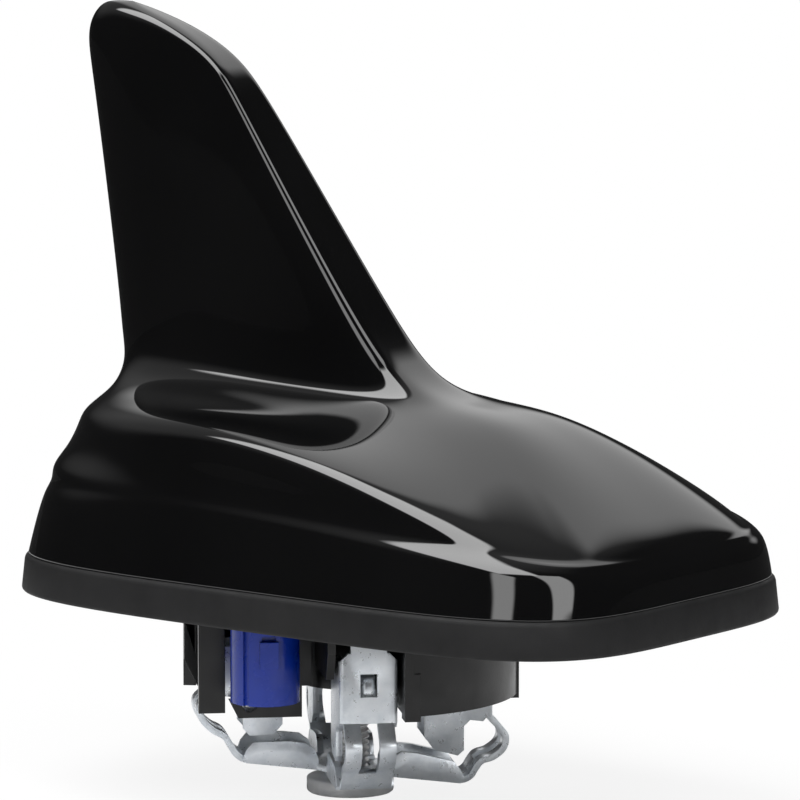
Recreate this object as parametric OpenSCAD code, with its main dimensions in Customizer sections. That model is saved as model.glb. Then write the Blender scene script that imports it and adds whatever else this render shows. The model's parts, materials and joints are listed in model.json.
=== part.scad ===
// Shark fin aerial for a car roof: a gloss fin cover on a rubber rim, a base with boards and coax
// sockets, and a sprung sheet metal claw below that one screw draws up against the roof panel.
// Millimetres. +X points to the nose, +Y to the left, +Z up.
// The origin lies on the roof plane, on the axis of the clamp screw.

/* [Rim] */
// Length of the rubber rim along the car
rim_len = 118.5; // [112:0.5:135]
// Width of the rubber rim
rim_wid = 75.5; // [73:0.5:86]
// How far the middle of the rim lies ahead of the clamp screw
rim_ahead = 8.5; // [6:0.25:10]
// Height of the rim's outer band
rim_h = 6; // [5.5:0.25:7]
// Squareness of the plan outline, where 2 is an ellipse
rim_square = 4.1; // [3.8:0.1:5.5]
// How much the rim widens to the nose, as a share of its width
rim_taper = 0.04; // [0:0.01:0.06]
// Width of the band that the cover stands on
rim_band = 4.6; // [4.6:0.1:5.4]
// Width of the flat flange below the base plate
flange_wid = 5; // [3:0.25:6]
// Thickness of that flange
flange_t = 1.5; // [1.2:0.1:2]

/* [Cover] */
// Step in from the rim's edge to the cover
cover_in = 1.1; // [0.6:0.1:1.3]
// Wall of the cover
cover_wall = 2.2; // [1.8:0.1:2.3]
// Height of the step line at the nose
step_nose_z = 11.8; // [10.8:0.2:13]
// Height of the step line at mid length
step_side_z = 17.3; // [16:0.1:19]
// Height of the step line at the rear
step_rear_z = 17.6; // [16:0.2:20]
// Height of the shoulder at the nose
brow_nose_z = 17; // [16:0.2:19]
// Height of the shoulder at mid length
brow_side_z = 26.2; // [24:0.2:28]
// Height of the shoulder at the rear
brow_rear_z = 28.8; // [27:0.2:30]
// Height of the crest just ahead of the fin's foot
crest_z = 33.6; // [32:0.2:37]
// Height of the hollow beside the fin's foot
hollow_z = 28; // [27:0.2:30]

/* [Fin] */
// Height of the fin's tip above the roof
fin_top_z = 93.3; // [88:0.1:99]
// Where the fin's top edge bends down to the leading edge, along the car
fin_bend_x = -23.8; // [-26:0.2:-19]
// Height of that bend below the tip
fin_bend_drop = 8.9; // [7:0.1:10]
// Where the trailing edge stands at the fin's foot
fin_rear_x = -44.8; // [-47:0.2:-43]
// Where the leading edge meets the dome
fin_nose_x = 23.2; // [21:0.2:27]
// How far the fin's tip leans back past its foot
fin_lean = 8.4; // [6:0.2:10]
// Half thickness of the fin at its foot
fin_half = 6; // [5.6:0.1:6.6]
// Half thickness of the fin below its tip
fin_tip_half = 3.8; // [3.5:0.1:4.3]

/* [Base] */
// Thickness of the base plate
plate_t = 3; // [2.5:0.1:3.5]
// Gap between the plate and the rubber round it
plate_gap = 0.3; // [0.2:0.05:0.4]
// Wall of the plate's lip
lip_wall = 1.6; // [1.2:0.1:2]
// Height of the lip above the plate
lip_h = 3.4; // [3:0.1:3.6]
// Outer radius of the collar below the plate
collar_r = 27; // [26:0.1:27.4]
// Wall of the collar
collar_wall = 2; // [1.6:0.1:2.4]
// Depth of the collar below the roof plane
collar_deep = 15.2; // [13:0.2:16]
// Radius of the central hub
hub_r = 8; // [7:0.1:9]
// Depth of the hub below the roof plane
hub_deep = 14; // [13:0.2:15]
// Wall of the guides beside each leg of the claw
guide_wall = 1.3; // [1:0.05:1.35]
// Depth of the long guides beside the sockets
guide_deep = 18.4; // [17:0.2:19.4]

/* [Claw] */
// Sheet thickness of the claw
claw_t = 1; // [0.8:0.05:1.1]
// Width of one leg across its flanges
claw_wid = 9.2; // [8.6:0.1:9.4]
// Distance of the legs' outer faces from the screw
claw_r = 22.5; // [21.8:0.1:23]
// Width of the neck that enters the base
neck_wid = 5.7; // [5:0.1:6.2]
// How far the neck reaches into the base plate's slot
neck_in = 1.8; // [1.2:0.1:2.2]
// Depth of the shoulders below the roof plane
shoulder_deep = 5.6; // [5:0.1:6.2]
// Depth of the legs' lower end below the roof plane
web_deep = 16.8; // [16:0.1:17.6]
// Depth of the arms' underside below the roof plane
arm_deep = 28.2; // [27.6:0.1:29]
// Width of one strap
strap_wid = 2.6; // [2.2:0.1:2.8]
// Width of the gap between two straps
strap_gap = 2.8; // [2.4:0.1:3]
// Radius of the ring round the screw
ring_r = 7.6; // [7:0.1:8]
// Angle by which the loose claw hangs out of level
claw_hang = 7; // [0:0.5:8]

/* [Screw] */
// Radius of the screw's shank
screw_r = 3; // [2.9:0.05:3.1]
// Running clearance of shank and insert
screw_clear = 0.05; // [0.03:0.01:0.08]
// Radius of the screw's flat head
head_r = 7; // [6.5:0.1:7.5]
// Thickness of the head
head_t = 2.5; // [2:0.1:3]
// Gap between the ring and the head
head_gap = 1.15; // [1.1:0.05:1.4]
// Size of the head's hexagon socket across its flats
drive_af = 5; // [4:0.5:6]
// Depth of that socket
drive_deep = 3; // [2.4:0.1:3.4]
// Outer radius of the threaded insert
insert_r = 4.5; // [4.2:0.1:5]
// Length of the insert
insert_len = 8.5; // [7:0.5:9]

/* [Sockets] */
// Distance of the coax sockets to each side of the screw
socket_y = 19.5; // [19.2:0.1:20]
// Place of the coax sockets along the car
socket_x = -2; // [-2.4:0.1:-1.4]
// Radius of a socket's housing
socket_r = 5.5; // [5.2:0.05:5.6]
// Depth of the housing below the roof plane
socket_deep = 14.6; // [13.6:0.2:15.6]
// Radius of the bore in the housing
socket_bore = 4.1; // [3.9:0.05:4.3]
// How far the contact tube stays back from the mouth
tube_back = 5.6; // [5.2:0.1:6.6]
// Outer radius of the contact tube
tube_r = 2.3; // [2.1:0.05:2.5]
// Wall of the contact tube
tube_wall = 0.4; // [0.3:0.05:0.5]
// Radius of the centre pin
pin_r = 0.5; // [0.4:0.05:0.6]

/* [Boards] */
// Gap between the plate and the main board
board_up = 3.5; // [3.4:0.1:4.2]
// Thickness of the main board
board_t = 1.6; // [1.2:0.1:2]
// Distance of the main board from the rim's front end
board_in_front = 18; // [16.5:0.5:20]
// Distance of the main board from the rim's rear end
board_in_rear = 13; // [12:0.5:15]
// Distance of the main board from the rim's sides
board_in_side = 11.2; // [10.4:0.2:12]
// Side of the satellite patch
patch_w = 25; // [20:0.5:25]
// Thickness of the patch
patch_t = 4; // [3:0.25:4.5]
// Place of the patch along the car
patch_x = 34; // [33:0.25:35.5]
// Thickness of the upright board in the fin
fin_board_t = 1; // [0.8:0.05:1.2]
// Side play of the inner parts
play = 0.1; // [0.05:0.01:0.15]

/* [Hidden] */
$fn = 64;
eps = 0.01;

// Levels above the roof plane
plate_z = flange_t;
plate_top = plate_z + plate_t;
board_z = plate_top + board_up;
board_top = board_z + board_t;

// Ends of the rim, and the edges of the main board within it
rim_front = rim_ahead + rim_len / 2;
rim_rear = rim_ahead - rim_len / 2;
board_front = rim_front - board_in_front;
board_rear = rim_rear + board_in_rear;
board_half = rim_wid / 2 - board_in_side;

// Insets of the plan outlines from the rim's edge
plate_in = rim_band + plate_gap;
seal_gap = 0.75;
seal_out = cover_in + cover_wall + seal_gap;
seal_in = plate_in - 0.15;

// Plan outline of the rim, drawn in by the given amount
outline_n = 96;
function squared(a, n) = pow(pow(abs(cos(a)), n) + pow(abs(sin(a)), n), -1 / n);
function plan(inset, count = outline_n) = [for (i = [0:count - 1])
    let (a = 360 * i / count, q = squared(a, rim_square), c = cos(a) * q)
    [rim_ahead + (rim_len / 2 - inset) * c, (rim_wid / 2 - inset) * sin(a) * q * (1 + rim_taper * c)]];

module plan_slab(inset, z0, z1) {
    translate([0, 0, z0])
        linear_extrude(z1 - z0)
            polygon(plan(inset));
}

// Rows of the cover's skin from the rim up to the tip. Each row is one closed ring:
// front x, rear x, half width, taper to the nose, squareness, height at nose, side and rear,
// and what the squareness gains towards the rear.
skin_front = rim_front - cover_in;
skin_rear = rim_rear + cover_in;
skin_half = rim_wid / 2 - cover_in;
bend_z = fin_top_z - fin_bend_drop;
mid_z = (crest_z + bend_z) / 2;
skin_rows = [
    [skin_front, skin_rear, skin_half, rim_taper, 4.2, rim_h, rim_h, rim_h, 0],
    [skin_front - 0.2, skin_rear + 1, skin_half - 0.8, rim_taper, 4.2,
        rim_h + 2.8, rim_h + 4.4, rim_h + 4.6, 0],
    [skin_front - 0.4, skin_rear + 2.4, skin_half - 1.6, rim_taper, 4.1,
        step_nose_z - 1, step_side_z - 1.5, step_rear_z - 1.6, 0],
    [skin_front - 0.7, skin_rear + 3.1, skin_half - 2, rim_taper, 4.1,
        step_nose_z, step_side_z, step_rear_z, -0.35],
    [skin_front - 1.8, skin_rear + 3.5, skin_half - 3, rim_taper, 4,
        step_nose_z + 0.2, step_side_z + 0.5, step_rear_z + 2.5, 0.2],
    [skin_front - 1.8, skin_rear + 3.4, skin_half - 3.6, rim_taper, 4,
        step_nose_z + 1.6, step_side_z + 2.7, step_rear_z + 4.9, -0.9],
    [skin_front - 1.9, fin_rear_x, skin_half - 3.6, rim_taper, 3.7,
        brow_nose_z - 2.2, brow_side_z - 2.4, brow_rear_z - 2.1, -0.85],
    [skin_front - 3.3, fin_rear_x + 0.7, skin_half - 3.8, rim_taper, 3.4,
        brow_nose_z, brow_side_z, brow_rear_z, -0.4],
    [fin_nose_x + 28.1, fin_rear_x + 0.2, skin_half - 11.5, rim_taper, 3.1,
        brow_nose_z + 8.8, hollow_z + 0.3, brow_rear_z + 2, -0.85],
    [fin_nose_x + 13.5, fin_rear_x - 0.3, fin_half + 8.5, rim_taper, 3.2,
        crest_z - 1.1, hollow_z - 0.2, crest_z - 0.6, -1],
    [fin_nose_x - 0.2, fin_rear_x - 0.2, fin_half + 2.3, 0.06, 3.6,
        crest_z - 0.7, hollow_z + 1.3, crest_z + 2.2, -1.3],
    [fin_nose_x - 9.4, fin_rear_x - 1, fin_half + 0.6, 0.08, 5.2,
        crest_z + 2.1, hollow_z + 6.9, crest_z + 6.2, -2.6],
    [fin_nose_x - 17.5, fin_rear_x - 1.8, fin_half, 0.1, 7.5,
        crest_z + 11, crest_z + 12.2, crest_z + 13.2, -4.9],
    [(fin_nose_x - 17.5 + fin_bend_x) / 2, fin_rear_x - fin_lean * 0.55, (fin_half + fin_tip_half) / 2 + 0.2,
        0.1, 8.5, mid_z + 5.7, mid_z + 6.9, mid_z + 6.9, -5.9],
    [fin_bend_x + 4.1, fin_rear_x - fin_lean * 0.85, fin_tip_half + 0.5, 0.08, 8.5,
        bend_z - 5, bend_z - 3.6, bend_z - 3.1, -5.9],
    [fin_bend_x, fin_rear_x - fin_lean, fin_tip_half, 0.06, 7, bend_z - 0.2, bend_z + 2.3, bend_z + 2.9, -4.4],
    [fin_bend_x - 4.8, fin_rear_x - fin_lean + 1, fin_tip_half - 0.9, 0.04, 5,
        fin_top_z - 5.9, fin_top_z - 3.4, fin_top_z - 2.6, -2.4],
    [fin_bend_x - 10.4, fin_rear_x - fin_lean + 3, fin_tip_half - 2.2, 0, 3.5,
        fin_top_z - 3.2, fin_top_z - 1.5, fin_top_z - 0.4, -1],
    [fin_rear_x + 0.8, fin_rear_x + 0.4, 0.02, 0, 2.4, fin_top_z, fin_top_z, fin_top_z, 0]];

// The inner skin keeps the wall's thickness from the outer one and stops below the tip
bore_last = 15;
function bore_row(k) =
    let (r = skin_rows[k], w = cover_wall, sink = w * min(1, k / 5))
    [r[0] - w, r[1] + w, max(r[2] - w, 0.4), r[3], r[4],
        r[5] - sink, r[6] - sink, r[7] - sink, r[8]];
bore_rows = [for (k = [0:bore_last]) bore_row(k)];

// Rows between the given ones, by a cubic blend of the four nearest
function row_or_past(rows, k) =
    k < 0 ? 2 * rows[0] - rows[1]
    : k > len(rows) - 1 ? 2 * rows[len(rows) - 1] - rows[len(rows) - 2]
    : rows[k];
function row_at(rows, v) =
    let (k = min(floor(v), len(rows) - 2), f = v - k)
    (pow(1 - f, 3) * row_or_past(rows, k - 1)
    + (3 * pow(f, 3) - 6 * f * f + 4) * row_or_past(rows, k)
    + (-3 * pow(f, 3) + 3 * f * f + 3 * f + 1) * row_or_past(rows, k + 1)
    + pow(f, 3) * row_or_past(rows, k + 2)) / 6;

// Points of one ring
function ring_point(r, a) =
    let (q = squared(a, r[4] + r[8] * (1 - cos(a)) / 2), c = cos(a) * q, s = sin(a) * q)
    [(r[0] + r[1]) / 2 + (r[0] - r[1]) / 2 * c,
    r[2] * s * (1 + r[3] * c),
    r[6] + (r[5] - r[7]) / 2 * c + ((r[5] + r[7]) / 2 - r[6]) * c * c];
function ring_points(rows, v, count) =
    [for (i = [0:count - 1]) ring_point(row_at(rows, v), 360 * i / count)];

outer_n = 64;
inner_n = 32;
outer_steps = 48;
inner_steps = 26;

// Triangles between two neighbouring rings that start at points a and b
function band(a, b, count) = [for (i = [0:count - 1]) let (j = (i + 1) % count)
    each [[a + i, b + i, b + j], [a + i, b + j, a + j]]];
// Closed solid through all rows, flat below and drawn to a point on top
module closed_skin(rows, steps, count) {
    last = len(rows) - 1;
    body = [for (k = [0:steps]) each ring_points(rows, last * k / steps, count)];
    top = rows[last];
    tip = len(body);
    faces = concat(
        [[for (i = [0:count - 1]) i]],
        [for (k = [0:steps - 1]) each band(k * count, (k + 1) * count, count)],
        [for (i = [0:count - 1]) [steps * count + i, tip, steps * count + (i + 1) % count]]);
    polyhedron(concat(body, [[(top[0] + top[1]) / 2, 0, top[6]]]), faces, convexity = 6);
}

// Slab with true round corners
module round_slab(x0, x1, y0, y1, r, z0, z1) {
    translate([x0 + r, y0, z0]) cube([x1 - x0 - 2 * r, y1 - y0, z1 - z0]);
    translate([x0, y0 + r, z0]) cube([x1 - x0, y1 - y0 - 2 * r, z1 - z0]);
    for (x = [x0 + r, x1 - r], y = [y0 + r, y1 - r])
        translate([x, y, z0]) cylinder(h = z1 - z0, r = r);
}

module rod(r, z0, z1) {
    translate([0, 0, z0]) cylinder(h = z1 - z0, r = r);
}

module tube(r_out, r_in, z0, z1) {
    difference() {
        rod(r_out, z0, z1);
        rod(r_in, z0 - 1, z1 + 1);
    }
}

// Plate in the XZ plane between two distances across
module side_plate(y0, y1) {
    translate([0, y1, 0]) rotate([90, 0, 0]) linear_extrude(y1 - y0) children();
}

// Band of even thickness along a smooth path through the given points
function smooth_path(p, m) = [for (i = [0:len(p) - 2]) for (k = [0:m - 1])
    let (f = k / m, a = p[max(i - 1, 0)], b = p[i], c = p[i + 1], d = p[min(i + 2, len(p) - 1)])
    0.5 * (2 * b + (c - a) * f + (2 * a - 5 * b + 4 * c - d) * f * f + (3 * b - a - 3 * c + d) * pow(f, 3))];
function path_side(p, i) =
    let (t = p[min(i + 1, len(p) - 1)] - p[max(i - 1, 0)]) [-t[1], t[0]] / norm(t);
function ribbon(p, t) = concat(
    [for (i = [0:len(p) - 1]) p[i] + path_side(p, i) * t / 2],
    [for (i = [len(p) - 1:-1:0]) p[i] - path_side(p, i) * t / 2]);

// The rubber rim
module rim_gasket() {
    edge_h = 0.8;
    groove_in = rim_band + 1.2;
    groove_wid = 1.4;
    groove_deep = 0.7;
    color("#222223")
        difference() {
            union() {
                plan_slab(0, 0, rim_h - edge_h);
                plan_slab(0.5, rim_h - edge_h - eps, rim_h);
            }
            plan_slab(rim_band, flange_t, rim_h + 1);
            plan_slab(rim_band + flange_wid, -1, flange_t + 1);
            // Way for the collar, should the rim be narrow
            rod(collar_r + play, -1, flange_t + 1);
            difference() {
                plan_slab(groove_in, -1, groove_deep);
                plan_slab(groove_in + groove_wid, -2, groove_deep + 1);
            }
        }
}

// The gloss cover with its four screw bosses inside
boss_r = 3.2;
boss_front = rim_front - 21.5;
boss_rear = rim_rear + 18;
boss_y = rim_wid / 2 - 18.8;
cover_screw_r = 1.3;
cover_screw_len = 8;
boss_spots = [for (x = [boss_front, boss_rear], y = [-boss_y, boss_y]) [x, y]];
module fin_cover() {
    color("#0b0b0c")
        difference() {
            closed_skin(skin_rows, outer_steps, outer_n);
            difference() {
                translate([0, 0, -eps]) closed_skin(bore_rows, inner_steps, inner_n);
                for (p = boss_spots)
                    translate(p) tube(boss_r, cover_screw_r + 0.05, plate_top, crest_z);
            }
        }
}

// Thin cord between the cover's foot and the plate's lip
module cover_seal() {
    color("#343436")
        difference() {
            plan_slab(seal_out, rim_h, rim_h + 0.8);
            plan_slab(seal_in, rim_h - 1, rim_h + 2);
        }
}

// Base plate with collar, hub, guides for the claw's legs and bosses
head_pit = 1.5;
head_pit_r = 2.9;
leg_angles = [45, 135, 225, 315];
guide_y0 = claw_wid / 2 + 0.6;
guide_y1 = guide_y0 + guide_wall;
guide_turn = asin(guide_y1 / collar_r);
board_boss_r = 2.6;
board_screw_r = 1;
board_spot_in = 4;
board_spots = [for (x = [board_front - 26, board_rear + 20], s = [-1, 1])
    [x, s * (board_half - board_spot_in)]];
module leg_frames() {
    for (a = leg_angles)
        rotate([0, 0, a]) children();
}
module collar_wall(from, to) {
    rotate([0, 0, from])
        rotate_extrude(angle = to - from)
            translate([collar_r - collar_wall, -collar_deep])
                square([collar_wall, collar_deep + plate_z + eps]);
}
// Guide beside a leg: a radial wall with a cut corner at its foot
module guide(y0, deep, reach) {
    foot = 2.2;
    side_plate(y0, y0 + guide_wall)
        polygon([[hub_r - 1, plate_z + eps], [hub_r - 1, -deep + 0.6], [hub_r - 0.4, -deep],
            [reach - foot, -deep], [reach, -deep + 2 * foot], [reach, plate_z + eps]]);
}
module long_guide(y0) {
    window_x = claw_r - 4.1;
    window = [[window_x, -guide_deep + 2.4], [window_x - 0.8, -guide_deep + 1],
        [window_x - 1.6, -guide_deep + 1], [window_x - 3.7, -guide_deep + 2.2]];
    post_wid = 4.2;
    post_deep = guide_deep - 0.9;
    post_x = claw_r - 1.6;
    flange_window = 3.9;
    foot_h = 3;
    difference() {
        union() {
            guide(y0, guide_deep, claw_r - 1.5);
            side_plate(y0, y0 + guide_wall)
                translate([post_x, -post_deep])
                    square([post_wid, post_deep + plate_z]);
        }
        side_plate(y0 - 1, y0 + guide_wall + 1) {
            polygon(window);
            // Opening where the claw's flange shows, and the way round the hub
            translate([post_x - flange_window, foot_h - guide_deep])
                square([flange_window, guide_deep - foot_h - 1]);
            translate([hub_r - 2, -guide_deep - 1])
                square([2.6, guide_deep + 1.6 - hub_deep]);
        }
    }
}
// Foot beside a front leg, where the collar's wall ends
module collar_toe(y0) {
    toe_wid = 2.5;
    toe_len = 3.7;
    toe_more = 0.8;
    side_plate(y0, y0 + toe_wid)
        translate([collar_r - toe_more - toe_len, -collar_deep - toe_more])
            square([toe_len, collar_deep / 2]);
}
// Wedge taken from inside the collar's end, which leaves a hook beside a rear leg
module hook_gap(from) {
    inner = collar_r - collar_wall;
    lip = 0.3;
    gap_deep = 9.8;
    rotate([0, 0, from])
        rotate_extrude(angle = 14)
            polygon([[inner, -1], [collar_r - lip, -1], [collar_r - lip, -gap_deep * 0.4],
                [inner, -gap_deep]]);
}
module base_plate() {
    pit = 0.5;
    color("#19191a")
        difference() {
            union() {
                plan_slab(plate_in, plate_z, plate_top);
                difference() {
                    plan_slab(plate_in, plate_top - eps, plate_top + lip_h);
                    plan_slab(plate_in + lip_wall, plate_top - 1, plate_top + lip_h + 1);
                }
                collar_wall(-45 + guide_turn, 45 - guide_turn);
                collar_wall(135 + guide_turn, 225 - guide_turn);
                rod(hub_r, -hub_deep, plate_z + eps);
                for (a = [45, 225]) rotate([0, 0, a]) guide(-guide_y1, collar_deep, collar_r - 0.8);
                for (a = [135, 315]) rotate([0, 0, a]) guide(guide_y0, collar_deep, collar_r - 0.8);
                rotate([0, 0, 225]) long_guide(guide_y0);
                rotate([0, 0, 135]) long_guide(-guide_y1);
                rotate([0, 0, 45]) guide(guide_y0, hub_deep - 4, claw_r);
                rotate([0, 0, 315]) guide(-guide_y1, hub_deep - 4, claw_r);
                rotate([0, 0, 315]) collar_toe(guide_y0);
                rotate([0, 0, 45]) mirror([0, 1, 0]) collar_toe(guide_y0);
                for (p = board_spots)
                    translate(p) rod(board_boss_r, plate_top - eps, board_z);
            }
            hook_gap(225 - guide_turn - 10);
            hook_gap(135 + guide_turn - 4);
            // Slots for the claw's necks
            leg_frames()
                translate([claw_r - claw_t - play, -neck_wid / 2 - play, plate_z - 1])
                    cube([claw_t + 2 * play, neck_wid + 2 * play, 1 + neck_in + play]);
            // Bore for the insert, and room above it for the screw's end
            rod(insert_r + play / 2, -hub_deep - 1, -hub_deep + pit + insert_len);
            rod(screw_r + 0.4, -hub_deep, plate_z - 0.5);
            // Holes for the sockets
            for (s = [-1, 1])
                translate([socket_x, s * socket_y])
                    rod(socket_r + 0.3, plate_z - 2, plate_top + 1);
            // Pilot bores for the board's screws
            for (p = board_spots)
                translate(p) rod(board_screw_r + 0.05, plate_z + 1, board_z + 1);
            // Holes and head pits for the cover's screws
            for (p = boss_spots)
                translate(p) {
                    rod(cover_screw_r + 0.2, plate_z - 1, plate_top + 1);
                    rod(head_pit_r, plate_z - 1, plate_z + head_pit);
                }
        }
}

// Main circuit board on its four bosses
module main_board() {
    color("#1f5a35")
        difference() {
            round_slab(board_rear, board_front, -board_half, board_half, 5, board_z, board_top);
            for (p = board_spots)
                translate(p) rod(board_screw_r + 0.25, board_z - 1, board_top + 1);
            for (s = [-1, 1])
                translate([socket_x, s * socket_y]) rod(pin_r + play, board_z - 1, board_top + 1);
            translate([patch_x, 0]) rod(feed_r + play, board_z - 1, board_top + 1);
            // Notches where the cover's bosses pass
            for (p = boss_spots)
                translate(p) rod(boss_r + 0.6, board_z - 1, board_top + 1);
        }
}

// Satellite patch: ceramic block, silvered plate and feed pin
feed_r = 0.5;
plate_foil = 0.3;
module gps_patch() {
    color("#d8cfb8")
        difference() {
            round_slab(patch_x - patch_w / 2, patch_x + patch_w / 2, -patch_w / 2, patch_w / 2, 1,
                board_top, board_top + patch_t);
            translate([patch_x, 0]) rod(feed_r + play, board_top - 1, board_top + patch_t + 1);
        }
}
module gps_patch_plate() {
    edge = 2.5;
    z = board_top + patch_t;
    color("#c9cacc")
        difference() {
            translate([patch_x - patch_w / 2 + edge, -patch_w / 2 + edge, z])
                cube([patch_w - 2 * edge, patch_w - 2 * edge, plate_foil]);
            translate([patch_x, 0]) rod(feed_r + play, z - 1, z + 1);
            // Cut corners that set the turning sense of the waves it takes in
            for (s = [-1, 1])
                translate([patch_x + s * (patch_w / 2 - edge), s * (patch_w / 2 - edge), z - 1])
                    rotate([0, 0, 45]) cube([3, 3, 4], center = true);
        }
}
module gps_feed_pin() {
    z = board_top + patch_t + plate_foil;
    color("#d9b25a")
        translate([patch_x, 0]) {
            rod(feed_r, board_z - 1, z + eps);
            rod(1.1, z, z + 0.5);
        }
}

// Folded screening can over the amplifier
can_x = -17;
can_len = 20;
can_y = 13;
can_wid = 12;
can_h = 4;
can_t = 0.3;
module shield_can() {
    color("#b9bcc0")
        translate([can_x, can_y, board_top])
            difference() {
                translate([-can_len / 2, -can_wid / 2, 0]) cube([can_len, can_wid, can_h]);
                translate([-can_len / 2 + can_t, -can_wid / 2 + can_t, -1])
                    cube([can_len - 2 * can_t, can_wid - 2 * can_t, can_h + 1 - can_t]);
                for (x = [-8, -4, 0, 4, 8], y = [-3.5, 0, 3.5])
                    translate([x, y, 0]) rod(0.6, can_h - 1, can_h + 1);
            }
}

// Upright board in the fin with its copper radiator
holder_h = 6;
fin_board_z = board_top + 1.2;
fin_board_front = fin_nose_x - 10;
fin_board_rear = fin_rear_x + 10;
module fin_board_outline(inset) {
    top = bend_z - 8;
    polygon([[fin_board_rear + inset, fin_board_z + inset], [fin_board_front - inset, fin_board_z + inset],
        [fin_board_front - inset, crest_z - 6 - inset], [fin_board_front - 10 - inset, crest_z + 4 - inset],
        [fin_bend_x + 1.5 - inset, top - 6 - inset], [fin_bend_x - 5 - inset, top - inset],
        [fin_rear_x + 1 + inset, top - inset], [fin_rear_x + 4.5 + inset, crest_z + 10],
        [fin_rear_x + 6.5 + inset, crest_z - 6]]);
}
module fin_board() {
    color("#2a6b3f")
        side_plate(-fin_board_t / 2, fin_board_t / 2)
            fin_board_outline(0);
}
module fin_radiator() {
    foil = 0.3;
    color("#c27b45")
        side_plate(-fin_board_t / 2 - foil, -fin_board_t / 2)
            difference() {
                fin_board_outline(2);
                translate([fin_board_rear - 1, fin_board_z - 5])
                    square([fin_board_front - fin_board_rear + 2, holder_h + 4.2]);
                // Slots that fold the radiator's path
                for (k = [0:3])
                    translate([k % 2 == 0 ? -50 : -35 + 4 * (3 - k) * 0.5, crest_z + 6 + 8 * k])
                        square([k % 2 == 0 ? 36 - 5 * k : 40, 2]);
            }
}
// Holder that grips the upright board's foot
module fin_board_holder() {
    holder_wid = 6;
    holder_rear = fin_board_rear + 1;
    holder_len = fin_board_front - 1 - holder_rear;
    window_len = 8;
    color("#2c2c2e")
        difference() {
            translate([holder_rear, -holder_wid / 2, board_top]) cube([holder_len, holder_wid, holder_h]);
            translate([holder_rear - 1, -fin_board_t / 2 - play, fin_board_z - play])
                cube([holder_len + 2, fin_board_t + 2 * play, holder_h]);
            for (x = [holder_rear + 6, contact_x - window_len / 2 + contact_wid / 2])
                translate([x, -holder_wid, board_top + 2]) cube([window_len, 2 * holder_wid, holder_h]);
        }
}
// Bent strip that carries the radiator's signal to the main board
contact_x = -9.5;
contact_wid = 3;
module contact_spring() {
    strip = 0.3;
    z = board_top + strip / 2;
    y = fin_board_t / 2 + 0.3 + strip / 2;
    path = [[-y - 5, z + 0.02], [-y - 4.2, z + 0.02], [-y - 3.4, z + 0.3], [-y - 2.6, z + 2], [-y - 1, z + 5],
        [-y - 0.02, z + 8], [-y - 0.8, z + 10.5]];
    color("#c8a04a")
        translate([contact_x, 0, 0])
            rotate([90, 0, 90])
                linear_extrude(contact_wid)
                    polygon(ribbon(smooth_path(path, 5), strip));
}

// Coax socket, seen from its own axis
module socket_housing(turn) {
    flange_r = socket_r + 1.5;
    key_wid = 1;
    pad_wid = 3;
    pad_z = -socket_deep + 6.1;
    pad_h = 4.3;
    catch_h = 0.8;
    difference() {
        union() {
            rod(socket_r, -socket_deep, board_z);
            rod(flange_r, plate_top, plate_top + 1.2);
            // Latch pad for the plug
            rotate([0, 0, turn])
                translate([0, -pad_wid / 2, pad_z]) cube([socket_r + 0.6, pad_wid, pad_h]);
        }
        rod(socket_bore, -socket_deep - 1, 0);
        rod(tube_r + 0.05, -1, board_z + 1);
        // Coding grooves down the outside
        for (a = [40, -120])
            rotate([0, 0, turn - a])
                translate([socket_r - 0.5, -key_wid / 2, -socket_deep - 1]) cube([2, key_wid, socket_deep]);
        // Catch for the plug's hook
        rotate([0, 0, turn])
            translate([socket_r - 0.7, -1.1, pad_z + pad_h]) cube([2, 2.2, catch_h]);
    }
}
module socket_tube() {
    tube(tube_r, tube_r - tube_wall, -socket_deep + tube_back, board_z);
}
module socket_insulator() {
    tube(tube_r - tube_wall - 0.05, pin_r + 0.05, -socket_deep + tube_back + 3, board_z - 0.1);
}
module socket_pin() {
    rod(pin_r, -socket_deep + tube_back + 1, board_top + 0.5);
}
module at_socket(s) {
    translate([socket_x, s * socket_y]) children();
}
module socket_housing_right() {
    color("#1f4fc4") at_socket(-1) socket_housing(-45);
}
module socket_tube_right() {
    color("#c9a24e") at_socket(-1) socket_tube();
}
module socket_insulator_right() {
    color("#ededea") at_socket(-1) socket_insulator();
}
module socket_pin_right() {
    color("#d9b25a") at_socket(-1) socket_pin();
}
module socket_housing_left() {
    color("#6d1f3c") at_socket(1) socket_housing(45);
}
module socket_tube_left() {
    color("#c9a24e") at_socket(1) socket_tube();
}
module socket_insulator_left() {
    color("#ededea") at_socket(1) socket_insulator();
}
module socket_pin_left() {
    color("#d9b25a") at_socket(1) socket_pin();
}

// Stamped and folded claw: four equal legs round one ring. The screw is loose, so the ring
// and the legs' lower parts hang out of level while the necks stay in the base.
flange_y = claw_wid / 2;
floor_z = -arm_deep + claw_t / 2;
strap_y = strap_gap / 2;
strap_out = strap_y + strap_wid;
hang_turn = 45;
function hang_of(turn) = tan(claw_hang) * cos(turn - hang_turn);
function hung(line, hang) = [for (p = line) [p[0], p[1] - hang * p[0]]];
// Centre line of a strap from the leg's lower end out, in and down to the arm
strap_line = [[claw_r - claw_t / 2, -web_deep + 0.9], [claw_r - claw_t / 2, -web_deep - 0.1],
    [claw_r + 0.9, -web_deep - 1.5], [claw_r + 2.2, -web_deep - 3.1], [claw_r + 1.8, -web_deep - 5.1],
    [claw_r + 0.1, -web_deep - 6.7], [claw_r - 1.7, -web_deep - 7.5], [claw_r - 2.7, floor_z + 2.1],
    [claw_r - 3.5, floor_z + 0.8], [claw_r - 4.9, floor_z], [claw_r - 7, floor_z]];
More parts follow.
